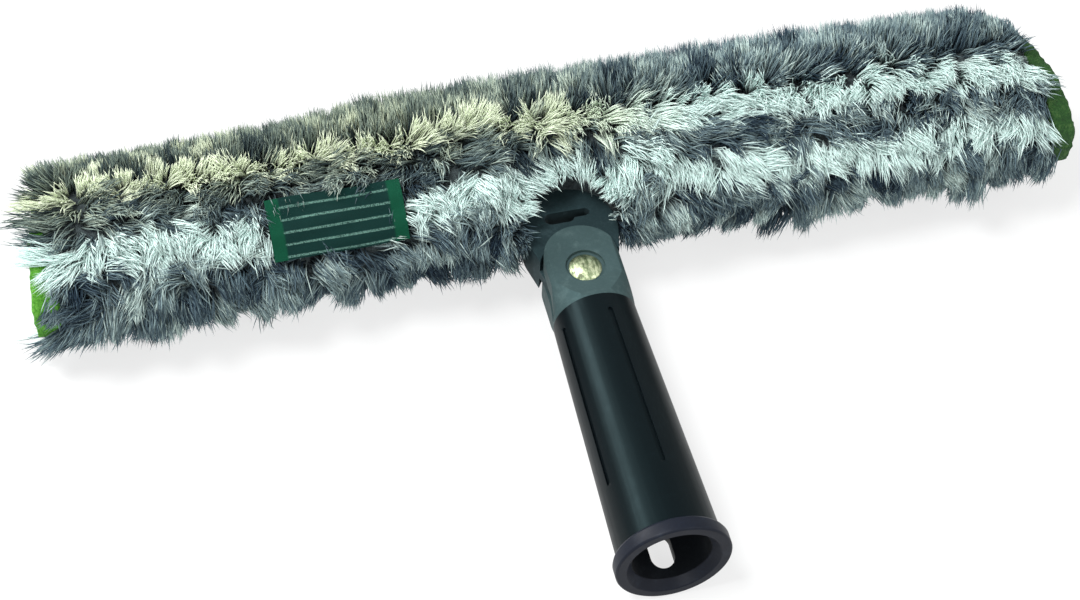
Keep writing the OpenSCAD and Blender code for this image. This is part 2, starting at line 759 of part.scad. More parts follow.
// A band that follows the sleeve's outline at a depth, between the label's two edges
module label_band(depth, thickness, spread) {
    steps = 16;
    w = pile_half_w - depth;
    h = pile_half_h - depth;
    turn = label_from - label_to + 2 * spread;
    angles = [for (i = [0 : steps]) label_to - spread + turn * i / steps];
    polygon(concat(
        [for (a = angles) [w * cos(a), h * sin(a)]],
        [for (i = [steps : -1 : 0])
            [(w + thickness) * cos(angles[i]), (h + thickness) * sin(angles[i])]]
    ));
}

module label() {
    color([0.08, 0.3, 0.22]) translate([label_x, bar_y, bar_z]) along_bar(label_len)
        label_band(label_sink, label_t, 0);
}

module label_bed() {
    translate([label_x, bar_y, bar_z]) along_bar(label_len + 1) label_band(label_sink, pile_half_w, 1);
}

end_collar();
handle_core();
grip();
head_shell_upper();
head_shell_lower();
shell_screws();
swivel_rivet();
rivet_washer();
disc_spring();
friction_disc_upper();
friction_disc_lower();
hub();
t_bar();
hub_screws();
sleeve_backing();
slit_binding();
closure_hook_strip();
closure_loop_strip();
pile_white();
pile_grey();
pile_edge();
pile_under();
end_pad_left();
end_pad_right();
label();
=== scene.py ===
# %% [markdown]
# # A window scrubber: a gripped handle, a riveted swivel head and a striped pile sleeve
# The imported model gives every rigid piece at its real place. This lesson dresses it: moulded
# plastic, rubber and plated steel on the handle, and some hundred thousand strands on the sleeve.

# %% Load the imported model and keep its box
import math

import bpy
import numpy as np
from mathutils import Matrix, Vector


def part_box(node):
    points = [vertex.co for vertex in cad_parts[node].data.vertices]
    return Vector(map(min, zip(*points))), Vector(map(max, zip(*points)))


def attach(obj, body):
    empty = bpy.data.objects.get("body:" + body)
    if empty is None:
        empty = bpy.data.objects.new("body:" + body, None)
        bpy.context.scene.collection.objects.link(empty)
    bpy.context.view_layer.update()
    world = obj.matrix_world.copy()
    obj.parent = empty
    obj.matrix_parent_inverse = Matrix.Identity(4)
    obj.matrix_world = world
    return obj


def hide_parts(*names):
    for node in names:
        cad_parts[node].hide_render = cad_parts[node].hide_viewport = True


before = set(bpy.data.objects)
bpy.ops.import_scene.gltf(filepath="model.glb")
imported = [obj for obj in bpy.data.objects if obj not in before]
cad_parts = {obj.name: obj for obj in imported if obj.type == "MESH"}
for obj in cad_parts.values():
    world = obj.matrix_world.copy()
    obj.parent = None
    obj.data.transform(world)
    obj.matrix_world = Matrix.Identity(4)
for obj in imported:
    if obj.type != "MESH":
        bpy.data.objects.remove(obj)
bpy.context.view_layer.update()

mm = 0.001

# %% [markdown]
# ## The places that the rest is worked out from
# The bar's box gives the sleeve's axis, and the pile's boxes give the space that the strands
# may fill. The hub and the label give the places that they keep clear of. The hub's tenon ends
# 35.5 mm beyond the middle of its disc. Places round the sleeve are angles in degrees: 0 at the
# far edge, 90 on top and 180 at the near edge.

# %% Measure the frame
bar_low, bar_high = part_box("t_bar")
bar_y = (bar_low.y + bar_high.y) / 2
bar_z = (bar_low.z + bar_high.z) / 2
edge_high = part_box("pile_edge")[1]
hub_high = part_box("hub")[1]
label_low, label_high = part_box("label")
label_far, label_near = 107, 147
table_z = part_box("pile_under")[0].z
pile_half = edge_high.x
pile_reach = edge_high.y - bar_y
pile_height = bar_z - table_z
hub_r = hub_high.x
tenon_reach = 35.5 * mm
disc_y = hub_high.y - tenon_reach
print("sleeve axis y, z:", round(bar_y, 4), round(bar_z, 4), "table z:", round(table_z, 4))

# %% [markdown]
# ## The camera
# It stands in front of the handle's mouth, a little to the left and 52 degrees up, turned by
# three degrees in its own plane. The long lens keeps the bar's two ends nearly alike.

# %% Set the camera
azimuth, elevation, roll = (math.radians(v) for v in (-16.39, 52.14, 3.03))
back = Vector((math.sin(azimuth) * math.cos(elevation),
               -math.cos(azimuth) * math.cos(elevation), math.sin(elevation)))
right = (-back).cross(Vector((0, 0, 1))).normalized()
up = right.cross(-back)
image_x = math.cos(roll) * right + math.sin(roll) * up
image_y = -math.sin(roll) * right + math.cos(roll) * up
lens = bpy.data.cameras.new("camera")
lens.sensor_width = 36
lens.lens = 86.67
lens.clip_start = 0.05
camera = bpy.data.objects.new("camera", lens)
bpy.context.scene.collection.objects.link(camera)
place = Matrix((image_x, image_y, back)).transposed().to_4x4()
place.translation = Vector((-169.53, -413.0, 699.47)) * mm
camera.matrix_world = place
bpy.context.scene.camera = camera
print("camera at", [round(v, 3) for v in place.translation])

# %% [markdown]
# ## Shader maths as plain expressions
# A finish is easier to read as a formula than as a list of links. A Socket wraps one output,
# and Python's operators on it add Math nodes. Any other node comes from Finish.node.

# %% The two classes that write shaders
class Socket:
    def __init__(self, finish, output):
        self.finish, self.output = finish, output

    def maths(self, operation, *others):
        return self.finish.node("ShaderNodeMath", {"operation": operation}, [self, *others])

    def __add__(self, other): return self.maths("ADD", other)
    def __radd__(self, other): return self.maths("ADD", other)
    def __mul__(self, other): return self.maths("MULTIPLY", other)
    def __rmul__(self, other): return self.maths("MULTIPLY", other)
    def __sub__(self, other): return self.maths("SUBTRACT", other)
    def __rsub__(self, other):
        return self.finish.node("ShaderNodeMath", {"operation": "SUBTRACT"}, [other, self])

    def smooth(self, low, high):
        settings = {"interpolation_type": "SMOOTHSTEP"}
        return self.finish.node("ShaderNodeMapRange", settings, {0: self, 1: low, 2: high})


class Finish:
    def __init__(self, name):
        self.material = bpy.data.materials.new(name)
        self.material.use_nodes = True
        self.tree = self.material.node_tree
        self.shader = self.tree.nodes["Principled BSDF"]

    def node(self, kind, settings=None, inputs=(), output=0):
        made = self.tree.nodes.new(kind)
        for name, value in (settings or {}).items():
            if name == "stops":
                for stop in value[2:]:
                    made.color_ramp.elements.new(stop[0])
                for element, (place, colour) in zip(made.color_ramp.elements, value):
                    element.position, element.color = place, colour
            else:
                setattr(made, name, value)
        pairs = inputs.items() if isinstance(inputs, dict) else enumerate(inputs)
        for key, value in pairs:
            self.feed(made.inputs[key], value)
        return Socket(self, made.outputs[output])

    def feed(self, target, value):
        if isinstance(value, Socket):
            self.tree.links.new(value.output, target)
        else:
            target.default_value = value

    def set(self, **values):
        for name, value in values.items():
            self.feed(self.shader.inputs[name.replace("_", " ")], value)

    def place(self, scale=(1, 1, 1)):
        coords = self.node("ShaderNodeTexCoord", output="Object")
        return self.node("ShaderNodeMapping", None, {"Vector": coords, "Scale": scale})

    def noise(self, scale, detail=4, rough=0.5, place=None, stretch=(1, 1, 1)):
        where = place or self.place(stretch)
        values = {"Vector": where, "Scale": scale, "Detail": detail, "Roughness": rough}
        return self.node("ShaderNodeTexNoise", None, values)

    def mix(self, factor, one, two, blend="MIX"):
        settings = {"data_type": "RGBA", "blend_type": blend}
        return self.node("ShaderNodeMix", settings, {0: factor, 6: one, 7: two}, 2)

    def bump(self, height, strength, distance):
        values = {"Height": height, "Strength": strength, "Distance": distance}
        return self.node("ShaderNodeBump", None, values)


def srgb(red, green, blue):
    """A colour as it is seen, 0 to 255, in the linear values that shaders take."""
    linear = [v / 255 / 12.92 if v <= 10 else ((v / 255 + 0.055) / 1.055) ** 2.4
              for v in (red, green, blue)]
    return (*linear, 1.0)


print("shader helpers ready")

# %% [markdown]
# ## Moulded plastic, rubber and plated steel
# A moulding is never one flat colour: it has a fine spark-eroded grain, faint clouds from the
# melt, and paler rubbed patches. Each finish below is that recipe with its own numbers.

# %% The recipe for a moulded surface
def moulded(name, colour, worn, rough=0.5, grain=2600, depth=0.02, wear=0.35, clouds=70,
            gloss=0.5, sheen=(1, 1, 1, 1)):
    finish = Finish(name)
    cloud = finish.noise(clouds, 5, 0.6)
    grains = finish.noise(grain, 3, 0.6)
    rubbed = finish.noise(160, 7, 0.7).smooth(0.5, 0.72) * wear
    dust = finish.noise(900, 4, 0.7).smooth(0.42, 0.75) * 0.35
    shaded = (*(c * 0.78 for c in colour[:3]), 1)
    base = finish.mix(cloud.smooth(0.3, 0.7) * 0.7, colour, shaded)
    base = finish.mix(rubbed + dust * wear, base, worn)
    finish.set(Base_Color=base, Roughness=rough + cloud * 0.12 - rubbed * 0.2,
               Specular_IOR_Level=gloss, Specular_Tint=sheen,
               Normal=finish.bump(grains + cloud * 0.6, 0.35, depth * mm))
    return finish


teal = srgb(170, 228, 236)
slate = moulded("slate_plastic", srgb(54, 70, 71), srgb(84, 102, 102), gloss=0.2, sheen=teal)
# The hub takes the head's slate moulding darkened: painted shade from the pile that hangs over
# its opening.
hub_slate_shaded = moulded("hub_plastic_shaded", srgb(34, 47, 50), srgb(64, 82, 86), gloss=0.15, sheen=teal)
rubber = moulded("grip_rubber", srgb(5, 8, 11), srgb(14, 22, 26), 0.34, grain=3400, depth=0.03,
                 wear=0.2, clouds=45, gloss=0.12, sheen=teal)
collar = moulded("collar_plastic", srgb(14, 19, 30), srgb(34, 44, 58), 0.4, wear=0.3, gloss=0.15)
core = moulded("core_plastic", srgb(20, 23, 27), srgb(44, 50, 55), gloss=0.12)
bar_finish = moulded("bar_plastic", srgb(58, 63, 67), srgb(92, 98, 102))
nylon = moulded("nylon", srgb(222, 222, 208), srgb(240, 240, 232), 0.35)
mouldings = (slate, hub_slate_shaded, rubber, collar, core, bar_finish, nylon)
print("moulded finishes:", [finish.material.name for finish in mouldings])

# %% [markdown]
# Plated steel is a bright metal with fine scratches one way and dull stains where the plating
# has worn. The rivet's is warm and mottled, and the hidden fasteners' is plain zinc.

# %% The plated rivet and the zinc-plated fasteners
def plated(name, bright, dull, tarnish, scratch=900):
    finish = Finish(name)
    swirl = finish.noise(scratch, 6, 0.65, stretch=(1, 0.25, 1))
    patch = finish.noise(420, 5, 0.6)
    stain = finish.noise(230, 6, 0.7).smooth(0.52, 0.66)
    base = finish.mix(swirl.smooth(0.35, 0.65), dull, bright)
    base = finish.mix(stain * 0.75, base, tarnish)
    finish.set(Base_Color=base, Metallic=1.0 - stain * 0.35,
               Roughness=0.22 + patch * 0.3 + stain * 0.2,
               Normal=finish.bump(patch * 1.5 + swirl, 0.6, 0.12 * mm))
    return finish


rivet = plated("rivet_plating", srgb(206, 214, 178), srgb(112, 128, 94), srgb(52, 62, 38))
steel = plated("zinc_plating", srgb(205, 208, 212), srgb(150, 155, 160), srgb(110, 112, 108))
print("plated finishes:", rivet.material.name, steel.material.name)

# %% [markdown]
# ## Knitted, woven and hooked cloth
# The sleeve's backing is a knit and its binding a tape. Both hide under the pile, so two
# crossed waves are enough to give them their rows of stitches.

# %% Cloth for the hidden layers
def woven(name, colour, dark, pitch):
    finish = Finish(name)
    where = finish.place()
    wave = {"Vector": where, "Scale": 0.31 / pitch, "Distortion": 0.6}
    rows = finish.node("ShaderNodeTexWave", {"bands_direction": "X"}, wave)
    picks = finish.node("ShaderNodeTexWave", {"bands_direction": "Y"}, wave)
    cloth = rows * 0.5 + picks * 0.5
    fuzz = finish.noise(1800, 4, 0.6)
    finish.set(Base_Color=finish.mix(cloth * 0.8 + fuzz * 0.2, dark, colour), Roughness=0.85,
               Specular_IOR_Level=0.15,
               Normal=finish.bump(cloth + fuzz * 0.3, 0.7, 0.3 * mm))
    return finish


knit = woven("backing_knit", srgb(204, 206, 204), srgb(140, 142, 142), 1.6 * mm)
tape = woven("binding_tape", srgb(44, 50, 66), srgb(18, 22, 32), 0.8 * mm)
hooks = woven("closure_tape", srgb(46, 46, 46), srgb(16, 16, 16), 1.0 * mm)
print("cloth finishes:", [finish.material.name for finish in (knit, tape, hooks)])

# %% [markdown]
# ## Rigid pieces with real edges
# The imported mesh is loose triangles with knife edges. A moulding's edge has a small radius that
# catches the light, so a copy is merged, its flat faces dissolved, its edges bevelled and its
# curves smoothed. Long thin faces would smear the shading, so the normals are weighted by the
# faces' areas. The copy then stands for the node.

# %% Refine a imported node
def select_only(piece):
    bpy.ops.object.select_all(action="DESELECT")
    piece.select_set(True)
    bpy.context.view_layer.objects.active = piece


def dress(piece, finish):
    piece.data.materials.clear()
    piece.data.materials.append(finish.material)


def apply_all(piece):
    select_only(piece)
    for modifier in list(piece.modifiers):
        bpy.ops.object.modifier_apply(modifier=modifier.name)


def merged_copy(node, ending, flat_angle=None):
    """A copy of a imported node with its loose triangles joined, and its flat faces if asked."""
    piece = bpy.data.objects.new(node + ending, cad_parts[node].data.copy())
    bpy.context.scene.collection.objects.link(piece)
    select_only(piece)
    bpy.ops.object.mode_set(mode="EDIT")
    bpy.ops.mesh.select_all(action="SELECT")
    bpy.ops.mesh.remove_doubles(threshold=0.002 * mm)
    if flat_angle:
        bpy.ops.mesh.dissolve_limited(angle_limit=math.radians(flat_angle))
    bpy.ops.object.mode_set(mode="OBJECT")
    return piece


def refined(node, finish, edge, body="handle", smooth=38):
    piece = merged_copy(node, "_piece", flat_angle=0.6)
    bevel = piece.modifiers.new("edges", "BEVEL")
    bevel.width = edge
    bevel.segments = 2
    bevel.limit_method = "ANGLE"
    bevel.angle_limit = math.radians(smooth)
    apply_all(piece)
    bpy.ops.object.shade_smooth_by_angle(angle=math.radians(smooth))
    piece.modifiers.new("even shading", "WEIGHTED_NORMAL").keep_sharp = True
    apply_all(piece)
    dress(piece, finish)
    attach(piece, body)
    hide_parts(node)


refined("grip", rubber, 0.25 * mm)
refined("end_collar", collar, 0.3 * mm)
refined("head_shell_upper", slate, 0.45 * mm)
refined("head_shell_lower", slate, 0.45 * mm)
refined("hub", hub_slate_shaded, 0.5 * mm, "head")
refined("swivel_rivet", rivet, 0.2 * mm, smooth=30)
for node, finish in {
    "handle_core": core, "shell_screws": steel, "rivet_washer": steel, "disc_spring": steel,
    "friction_disc_upper": nylon, "friction_disc_lower": nylon, "t_bar": bar_finish,
    "hub_screws": steel, "sleeve_backing": knit, "slit_binding": tape,
    "closure_hook_strip": hooks, "closure_loop_strip": hooks,
}.items():
    dress(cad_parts[node], finish)
print("refined the grip, collar, head shells, hub and rivet; finished the inner nodes")

# %% [markdown]
# ## The bed that the pile grows from
# A sleeve is a knitted tube with pile on its outside. The tube is drawn once as a formula, an
# oval round the bar that sinks towards the hub, because its bound edge meets the hub there.
# The bed is a mesh on that formula, dark with painted shade for the depths of the pile, and every
# strand's root uses the same formula.

# %% The surface under the pile
bed_depth = 9 * mm
bed_reach = pile_reach - bed_depth
bed_height = pile_height - bed_depth
hub_gap = 0.5 * mm
rim_gap = 0.5 * mm
dip_reach = 13 * mm
backing_low, backing_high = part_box("sleeve_backing")
rim_high = backing_high.z + rim_gap
rim_low = backing_low.z - rim_gap
rim_middle = (rim_high + rim_low) / 2


def ramp(value):
    value = np.clip(value, 0, 1)
    return value * value * (3 - 2 * value)


def from_hub(x, y):
    """Distance in plan from the sleeve's opening: the hub's disc and the gap in front of it."""
    round_part = np.hypot(x, y - disc_y) - hub_r - hub_gap
    gap_part = np.maximum(np.abs(x) - hub_r - hub_gap, y - disc_y)
    return np.minimum(round_part, gap_part)


def surface(along, angle):
    """Points of the bed, at metres along the bar and degrees round it."""
    turn = np.radians(angle)
    x = np.asarray(along, float)
    y = bar_y + bed_reach * np.cos(turn)
    z = bar_z + bed_height * np.sin(turn)
    share = ramp(from_hub(x, y) / dip_reach)
    high = (rim_high - rim_middle) / (bar_z + bed_height - rim_middle)
    low = (rim_low - rim_middle) / (bar_z - bed_height - rim_middle)
    flat = np.where(z > rim_middle, high, low)
    z = rim_middle + (z - rim_middle) * (flat + (1 - flat) * share)
    return np.stack([x, y + 0 * x, z], -1)


def outward(along, angle):
    """The bed's outward directions, from two short steps over it."""
    step = 0.4 * mm
    one = surface(along + step, angle) - surface(along - step, angle)
    two = surface(along, angle + 1) - surface(along, angle - 1)
    normal = np.cross(two, one)
    away = surface(along, angle) - np.array([0, bar_y, rim_middle]) * [0, 1, 1]
    away[..., 0] = 0
    normal *= np.sign((normal * away).sum(-1, keepdims=True) + 1e-12)
    return normal / np.linalg.norm(normal, axis=-1, keepdims=True)


def wander(x, y, seed, cell):
    """Smooth noise from -1 to 1, with bumps of one cell."""
    size, shift = 97, 400
    table = np.random.default_rng(seed).random((size, size)) * 2 - 1
    gx, gy = np.asarray(x) / cell + shift, np.asarray(y) / cell + shift
    ix, iy = np.floor(gx).astype(int), np.floor(gy).astype(int)
    fx, fy = ramp(gx - ix), ramp(gy - iy)
    left, right, low, high = ix % size, (ix + 1) % size, iy % size, (iy + 1) % size
    lower = table[left, low] * (1 - fx) + table[right, low] * fx
    upper = table[left, high] * (1 - fx) + table[right, high] * fx
    return lower * (1 - fy) + upper * fy


print("bed half width, half height:", round(bed_reach, 4), round(bed_height, 4))

# %% [markdown]
# The bed starts as a cylinder. Only its long edges are cut, into rings, and each point then
# moves to its place on the formula. Edges are picked in edge mode, or the pick is lost.

# %% Make the bed
bed_cuts = 100
bed_sides = 88
bed_half = pile_half - 1.5 * mm
bpy.ops.object.select_all(action="DESELECT")
bpy.context.tool_settings.mesh_select_mode = (False, True, False)
bpy.ops.mesh.primitive_cylinder_add(vertices=bed_sides, radius=1, depth=2)
bed = bpy.context.active_object
bed.name = "pile_bed"
bpy.ops.object.mode_set(mode="EDIT")
bpy.ops.mesh.select_all(action="DESELECT")
bpy.ops.object.mode_set(mode="OBJECT")
for edge in bed.data.edges:
    start, end = (bed.data.vertices[i].co for i in edge.vertices)
    edge.select = abs(start.z - end.z) > 1
bpy.ops.object.mode_set(mode="EDIT")
bpy.ops.mesh.subdivide(number_cuts=bed_cuts)
bpy.ops.object.mode_set(mode="OBJECT")
co = np.array([v.co for v in bed.data.vertices])
angle = np.degrees(np.arctan2(co[:, 1], co[:, 0]))
co = surface(co[:, 2] * bed_half, angle)
bed.data.vertices.foreach_set("co", co.ravel())
bed.data.update()
print("bed:", len(bed.data.vertices), "points, length", round(np.ptp(co[:, 0]), 4))

# %% [markdown]
# The sleeve is open where the hub enters, so a cutter of the hub's plan is taken out of the
# bed. It is a little wider than the hub, and reaches out past the near edge.

# %% Cut the bed round the hub
past_edge = 3
bpy.ops.object.select_all(action="DESELECT")
bpy.ops.mesh.primitive_cylinder_add(vertices=64, radius=hub_r + hub_gap, depth=0.2,
                                    location=(0, disc_y, 0))
cutter = bpy.context.active_object
for vertex in cutter.data.vertices:
    if vertex.co.y < 0:
        vertex.co.x = math.copysign(hub_r + hub_gap, vertex.co.x)
        vertex.co.y *= past_edge
cut = bed.modifiers.new("opening", "BOOLEAN")
cut.object = cutter
cut.solver = "EXACT"
apply_all(bed)
bpy.data.objects.remove(cutter)
bpy.ops.object.shade_smooth_by_angle(angle=math.radians(40))
under_pile = Finish("pile_bed")
# The bed's dark mottled colour is painted shade between the tufts' roots; the same noise also
# gives the bed its matted bump.
matted_and_shade = under_pile.noise(420, 6, 0.7)
painted_root_shade = under_pile.mix(matted_and_shade.smooth(0.3, 0.75), srgb(22, 30, 34), srgb(74, 86, 88))
under_pile.set(Base_Color=painted_root_shade, Roughness=0.95,
               Normal=under_pile.bump(matted_and_shade, 1.0, 1.5 * mm))
dress(bed, under_pile)
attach(bed, "head")
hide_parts("pile_white", "pile_grey", "pile_edge", "pile_under")
print("bed after the cut:", len(bed.data.polygons), "faces")

# %% [markdown]
# ## How the pile lies
# Pile grows in tufts, and tufts gather into locks. Each lock leans its own way: upright like a
# brush along the far edge, combed sideways over the face, and hanging at the near edge. First
# come the roots, on a loose grid that crowds towards the sleeve's ends, and the lock that each
# tuft belongs to. The near edge and the underside take the larger locks.

# %% Plant the tufts and their locks
draw = np.random.default_rng(29)
end_zone = 14
large_from = 148


def scatter(spacing, jitter):
    """A loose grid of roots over the whole bed: distance along it, and angle round it."""
    rows = int(math.pi * (bed_reach + bed_height) / spacing)
    columns = int(2 * pile_half / spacing)
    across, around = np.meshgrid(np.arange(columns), np.arange(rows))
    shift = (around % 2) * 0.5
    u = (across + 0.5 + shift + draw.uniform(-jitter, jitter, across.shape)) / columns
    v = (around + 0.5 + draw.uniform(-jitter, jitter, across.shape)) / rows
    keep = u < 1
    along = u[keep] * 2 - 1
    from_end = (1 - np.abs(along)) * pile_half / (end_zone * mm)
    crowded = np.sign(along) * (1 - from_end ** 1.3 * end_zone * mm / pile_half)
    along = np.where(from_end < 1, crowded, along)
    return along * (pile_half - 1 * mm), v[keep] * 360 - 60


tuft_u, tuft_a = scatter(2.35 * mm, 0.42)
small_u, small_a = scatter(5.2 * mm, 0.45)
large_u, large_a = scatter(8.5 * mm, 0.45)
lock_u, lock_a = np.concatenate([small_u, large_u]), np.concatenate([small_a, large_a])
is_large = np.arange(len(lock_u)) >= len(small_u)
tuft_root = surface(tuft_u, tuft_a)
keep = from_hub(tuft_root[:, 0], tuft_root[:, 1]) > 0.1 * mm
tuft_u, tuft_a, tuft_root = tuft_u[keep], tuft_a[keep], tuft_root[keep]
lock_root = surface(lock_u, lock_a)
nearest = np.empty(len(tuft_u), int)
batch = 500
for start in range(0, len(tuft_u), batch):
    some = slice(start, start + batch)
    apart = tuft_root[some, None, :] - lock_root[None, :, :]
    other_size = is_large[None, :] != (tuft_a[some, None] > large_from)
    nearest[some] = ((apart ** 2).sum(-1) + other_size).argmin(1)
print("tufts:", len(tuft_u), "locks:", len(lock_u))

# %% [markdown]
# The zones are shares from 0 to 1 of the angle round the sleeve. The lean is an angle from the
# surface's own outward direction, and the comb is which way along the surface it leans: 0 is
# straight towards the near edge, 90 is along the bar to the right.

# %% Decide each tuft's lean, comb and length
def zone(angle, rise, full, fall=400, end=401):
    return ramp((angle - rise) / (full - rise)) * (1 - ramp((angle - fall) / (end - fall)))


lock_draw = draw.normal(size=(len(lock_u), 5))
lock_comb, lock_lean, lock_long, lock_tone, lock_sway = lock_draw[nearest].T
face = zone(tuft_a, 58, 84, 145, 165)
near = zone(tuft_a, 140, 165, 225, 245)
under = zone(tuft_a, 215, 240)
brush = 1 - np.clip(face + near + under, 0, 1)
swirl = wander(tuft_root[:, 0], tuft_a * mm * 0.6, 5, 30 * mm)
comb = (face * (18 + 70 * swirl + 34 * lock_comb) + near * (26 * swirl + 26 * lock_comb)
        + brush * 60 * lock_comb + draw.normal(0, 14, len(tuft_u)))
lean = (face * (34 + 11 * lock_lean) + near * (24 + 16 * lock_lean)
        + under * (30 + 10 * lock_lean) + brush * (4 + 3 * lock_lean))
bend = face * 46 + near * 34 + under * 30 + brush * 10
gather = face * 0.55 + near * 0.8 + under * 0.4 + brush * 0.18
print("mean lean of the face tufts:", round(lean[face > 0.9].mean(), 1), "degrees")

# %% [markdown]
# The far edge stands highest over the middle of the bar, and the near edge hangs in ragged
# locks. Round the hub the tufts are cut short, and under the label they are pressed flat.

# %% Decide each tuft's length
x_mm = tuft_u / mm
upright = np.interp(x_mm, [-175, -100, -60, -20, 60, 175], [9.4, 10.4, 14.2, 14.6, 14.3, 12.6])
hanging = np.interp(x_mm, [-175, -110, -90, 0, 20, 40, 140, 165],
                    [11.2, 11.2, 9.8, 9.8, 10.2, 8.2, 8.2, 9.8])
ragged = 2.6 * wander(tuft_u, tuft_a * mm * 0.2, 17, 16 * mm)
length = (face * (12 + 1.4 * lock_long) + near * (hanging + ragged + 1.6 * lock_long)
          + under * (9 + ragged * 0.5 + lock_long) + brush * (upright + 0.5 * lock_long))
length = np.clip(length + draw.normal(0, 0.6, len(tuft_u)), 5, 16) * mm
hub_near = 1 - ramp(from_hub(tuft_root[:, 0], tuft_root[:, 1]) / (8 * mm))
at_hub = hub_near > 0.1
length *= 1 - 0.34 * hub_near
label_middle = (label_low.x + label_high.x) / 2
label_len = label_high.x - label_low.x
in_label = ((np.abs(tuft_u - label_middle) < label_len / 2)
            & (tuft_a > label_far - 5) & (tuft_a < label_near))
length[in_label] = 5 * mm
lean[in_label], bend[in_label] = 20, 20
print("mean length of the face tufts:", round(length[face > 0.9].mean() / mm, 1), "mm")

# %% [markdown]
# Two white stripes run the whole length over a grey ground. They drift over the face, their
# edges wander with the locks, and the near one climbs over the hub. The far one is cream on
# the left, where the whole pile is a little warmer.

# %% Decide each tuft's colour
wobble = 5 * wander(tuft_u, tuft_a * mm, 11, 14 * mm) + 2.2 * lock_tone
wobble *= np.interp(x_mm, [0, 50], [1, 0.5])
far_middle = np.interp(x_mm, [-175, -134, -90, -60, -16, 36, 90, 175],
                       [70, 68, 74, 73, 70, 83, 86, 92])
near_middle = np.interp(x_mm, [-175, -130, -104, -60, -26, -10, 10, 24, 44, 80, 175],
                        [113, 117, 124, 122, 117, 101, 101, 114, 129, 133, 134])


def stripe(middle, half):
    return 1 - ramp((np.abs(tuft_a + wobble - middle) - half + 2) / 4)


far_half = np.interp(x_mm, [-20, 40], [7, 12])
near_half = np.interp(x_mm, [10, 40], [11, 10])
far_white = stripe(far_middle, far_half) * np.interp(x_mm, [-20, 30], [0.8, 1])
near_white = stripe(near_middle, near_half)
ring = at_hub * (tuft_a < 150) * (tuft_root[:, 1] > disc_y + 4 * mm)
white = np.clip(np.maximum(np.maximum(far_white, near_white), ring), 0, 1)
under_white = np.maximum(stripe(238, 9), stripe(282, 9))
white = np.maximum(white, under_white)
warm = (1 - ramp((x_mm + 60) / 140)) * (1 - ramp((tuft_a - 70) / 50))
cream = np.clip(far_white * (1 - ramp(x_mm / 50)) * 0.7 + 0.1 + 0.8 * warm * (1 - white), 0, 1)
comb = comb * (1 - 0.45 * white)
print("white tufts:", int((white > 0.5).sum()))

# %% [markdown]
# ## Which way each tuft heads
# The comb turns each tuft in the surface. Round the opening the tufts head in over the hub, and
# at the sleeve's ends they flare out over the pads, more on the left than on the right.

# %% Turn the tufts
normal = outward(tuft_u, tuft_a)
to_near = surface(tuft_u, tuft_a + 1) - surface(tuft_u, tuft_a - 1)
to_near /= np.linalg.norm(to_near, axis=1, keepdims=True)
to_right = np.cross(to_near, normal)
to_right *= np.sign(to_right[:, :1])
turn = np.radians(comb)[:, None]
heading = np.cos(turn) * to_near + np.sin(turn) * to_right
inward = np.array([0, disc_y, 0]) - tuft_root
inward[:, 2] = 0
inward /= np.linalg.norm(inward, axis=1, keepdims=True)
far_side = (tuft_root[:, 1] > disc_y)[:, None]
pull = hub_near[:, None]
heading = heading * (1 - pull) + inward * pull * np.where(far_side, 1, -1)
above_hub = at_hub & (tuft_root[:, 1] > disc_y + 6 * mm)
lean = np.where(at_hub, np.where(above_hub, 18, 8), lean)
bend = np.where(at_hub, np.where(above_hub, 44, 16), bend)
print("tufts round the hub:", int(at_hub.sum()))

# %% Flare the tufts at the two ends
end_side = np.sign(tuft_u)
end_near = ramp((np.abs(tuft_u) - pile_half + 16 * mm) / (14 * mm)) * end_side
left_flare = np.interp(tuft_a, [20, 50, 70, 112, 126, 152, 165, 215],
                       [0.2, 0.5, 1, 1, 0, 0, 1, 0.8])
right_flare = np.interp(tuft_a, [70, 95, 140, 160], [0, 0.15, 0.3, 0.2])
flare = np.where(tuft_u < 0, left_flare, right_flare) * np.abs(end_near)
heading = heading * (1 - 0.85 * flare[:, None])
heading[:, 0] += 1.2 * flare * end_side
heading /= np.linalg.norm(heading, axis=1, keepdims=True)
lean = lean * (1 - flare) + 68 * flare
bend = bend * (1 - flare) + 12 * flare
length *= 1 + np.where(tuft_u < 0, 0.4, 0.1) * flare
far_corner = np.clip(end_near, 0, 1) * (1 - ramp((tuft_a - 50) / 50))
length *= 1 - 0.5 * far_corner
print("flared tufts:", int((flare > 0.5).sum()))

# %% [markdown]
# ## The strands
# A strand is a tapered tube with three sides, bent at two rings: sixteen triangles. Nearly a
# hundred thousand are made at once with arrays, because operators on each would take hours. The
# white tufts have the most strands, and those underneath or behind the label the fewest.

# %% Draw each strand's own chances
strands_each = np.where(under > 0.5, 5, np.where(white > 0.5, 16, 12))
strands_each[in_label] = 3
gather *= 1 - 0.55 * white
owner = np.repeat(np.arange(len(tuft_u)), strands_each)
count = len(owner)
spread = draw.normal(0, 1, (count, 2))
share = draw.random(count)
# On the near edge the tone is lowered by 0.06 as painted shade. Towards the right this shade
# gives way, and the tufts end a little paler.
pale_right = ramp((x_mm - 20) / 40) * 0.08
tone = np.clip(0.5 + ((pale_right - 0.06) * near)[owner] + 0.16 * draw.normal(size=count)
               + 0.2 * lock_tone[owner] + 0.1 * draw.normal(size=len(tuft_u))[owner], 0, 1)
whitened = ramp((white[owner] + 0.3 * share - 0.45) / 0.35)
scatter_of_length = 0.1 - 0.05 * brush[owner]
strand_length = length[owner] * (1 + scatter_of_length * draw.normal(size=count))
start_angle = np.radians(lean[owner] + draw.normal(0, 6, count))
end_angle = start_angle + np.radians(bend[owner] + draw.normal(0, 9, count))
sway = draw.normal(0, 0.1, count) + 0.16 * (1 - brush[owner]) * lock_sway[owner]
print("strands:", count)

# %% [markdown]
# Each strand is walked from its root in three steps. A step turns from the outward direction
# towards the tuft's heading, sways to a side, and is drawn to the middle of its lock. Points
# that would go through the table are laid on it.

